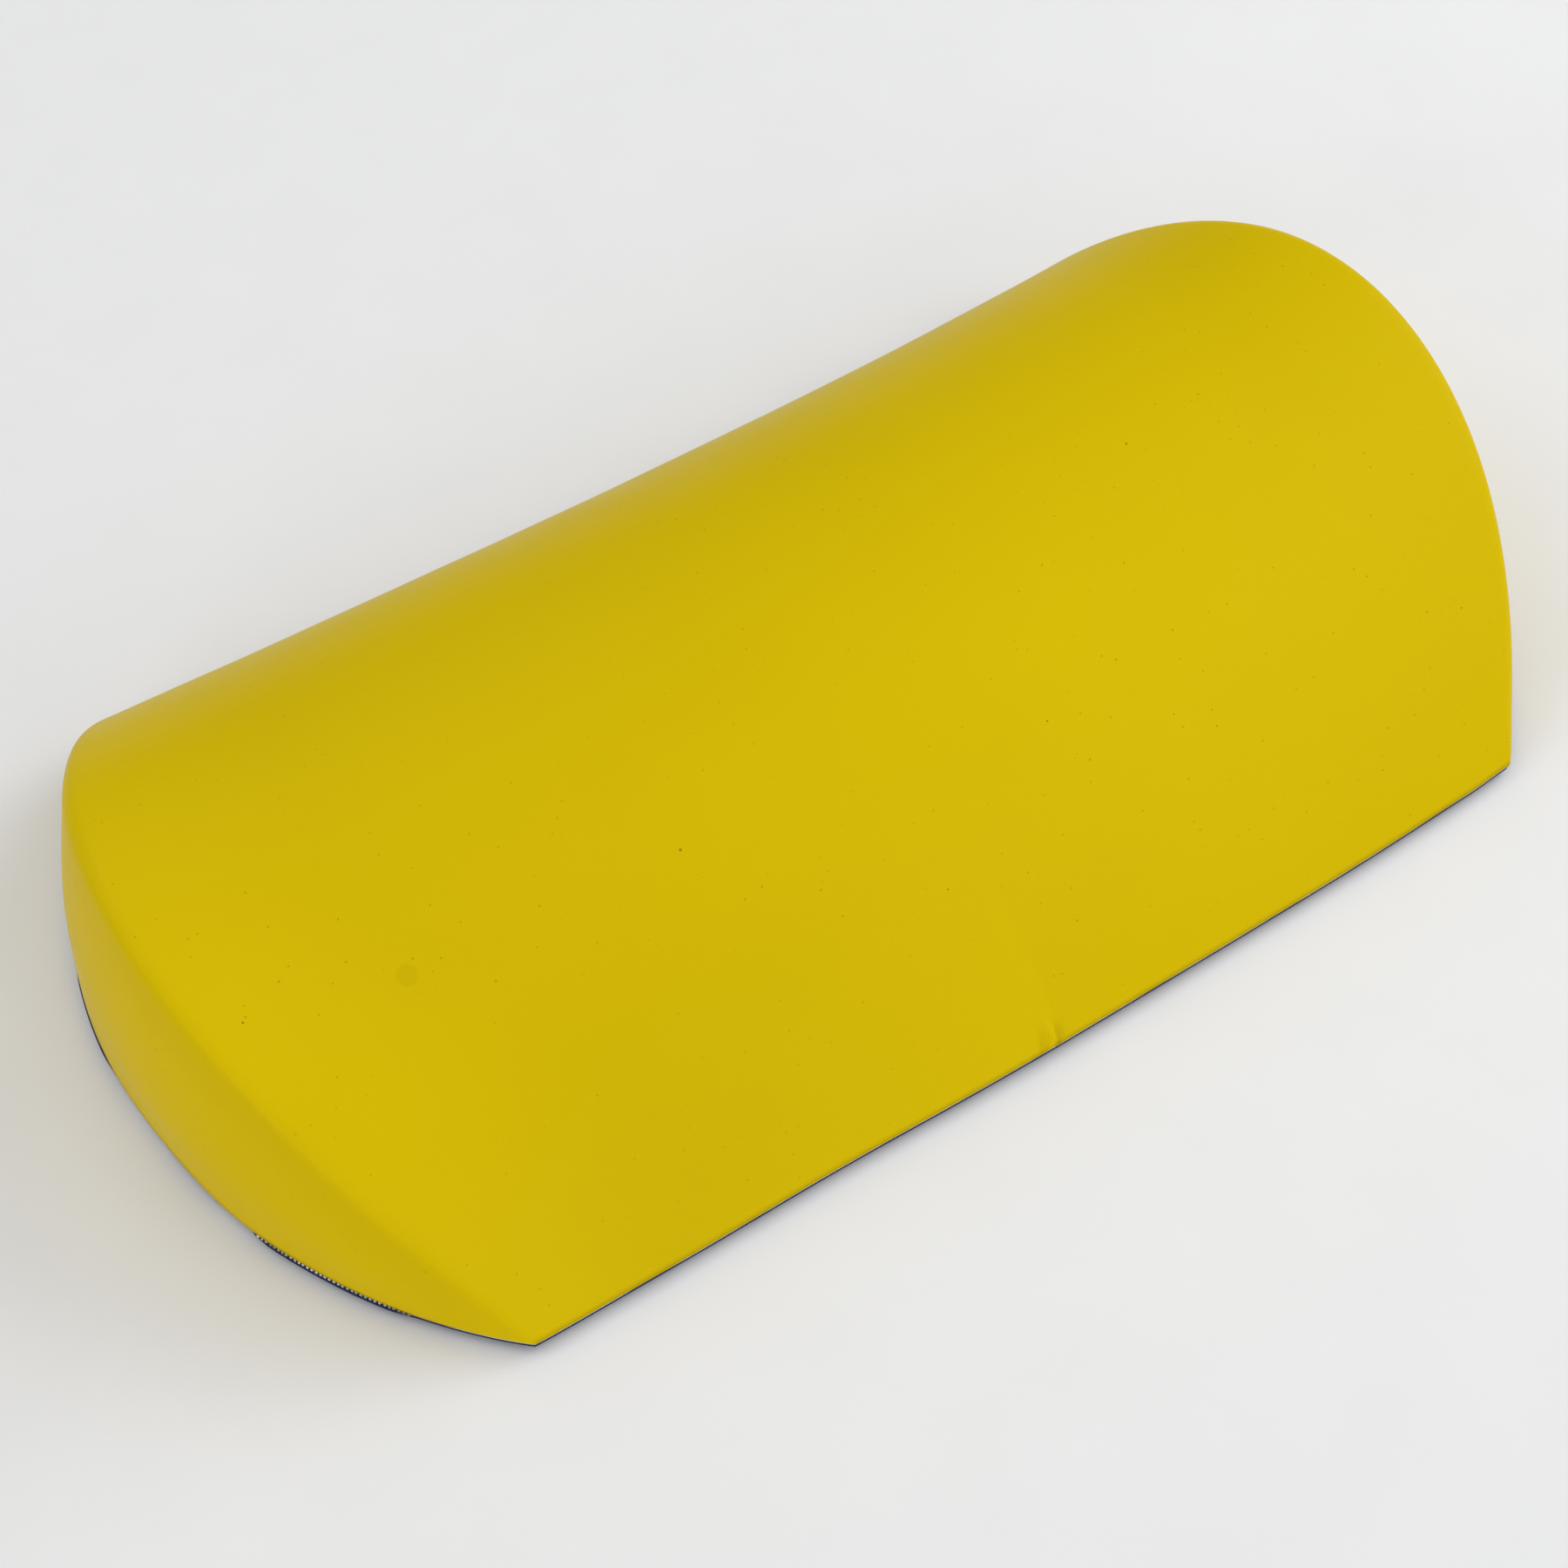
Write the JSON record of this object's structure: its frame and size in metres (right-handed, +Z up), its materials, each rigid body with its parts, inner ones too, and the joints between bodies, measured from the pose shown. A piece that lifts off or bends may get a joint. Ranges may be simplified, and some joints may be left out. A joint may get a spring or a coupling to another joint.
{
  "type": "spa headrest cushion",
  "caption": "Arched yellow headrest pad in a seamless vinyl skin, with a flat navy cloth base and recessed suction cups that grip a bath or spa shell.",
  "frame": {"origin": "bottom centre of the cushion, in the plane that the four cup lips stand on", "axes": "+X along the length, +Y from the bowed-out front edge to the back edge, +Z up through the arch"},
  "size_m": [0.32, 0.1786, 0.0542],
  "materials": {
    "yellow_skin": "satin",
    "foam": "matte",
    "board_plastic": "matte",
    "pale_film": "satin",
    "navy_cloth": "matte",
    "cup_vinyl": "gloss",
    "socket_plastic": "satin"
  },
  "bodies": {
    "pad": {"cover_skin": "yellow_skin", "foam_core": "foam", "base_board": "board_plastic", "bond_film": "pale_film", "base_cloth": "navy_cloth", "cup_socket_front_left": "socket_plastic", "cup_socket_front_right": "socket_plastic", "cup_socket_back_left": "socket_plastic", "cup_socket_back_right": "socket_plastic"},
    "cup_front_left": {"suction_cup_front_left": "cup_vinyl"},
    "cup_front_right": {"suction_cup_front_right": "cup_vinyl"},
    "cup_back_left": {"suction_cup_back_left": "cup_vinyl"},
    "cup_back_right": {"suction_cup_back_right": "cup_vinyl"}
  },
  "joints": [
    {"name": "cup_spin_front_left", "type": "hinge", "parent": "pad", "child": "cup_front_left", "pos_m": [-0.08, -0.03933, 0], "axis": [0, 0, 1], "continuous": true},
    {"name": "cup_spin_front_right", "type": "hinge", "parent": "pad", "child": "cup_front_right", "pos_m": [0.08, -0.03933, 0], "axis": [0, 0, 1], "continuous": true},
    {"name": "cup_spin_back_left", "type": "hinge", "parent": "pad", "child": "cup_back_left", "pos_m": [-0.08, 0.03667, 0], "axis": [0, 0, 1], "continuous": true},
    {"name": "cup_spin_back_right", "type": "hinge", "parent": "pad", "child": "cup_back_right", "pos_m": [0.08, 0.03667, 0], "axis": [0, 0, 1], "continuous": true}
  ]
}
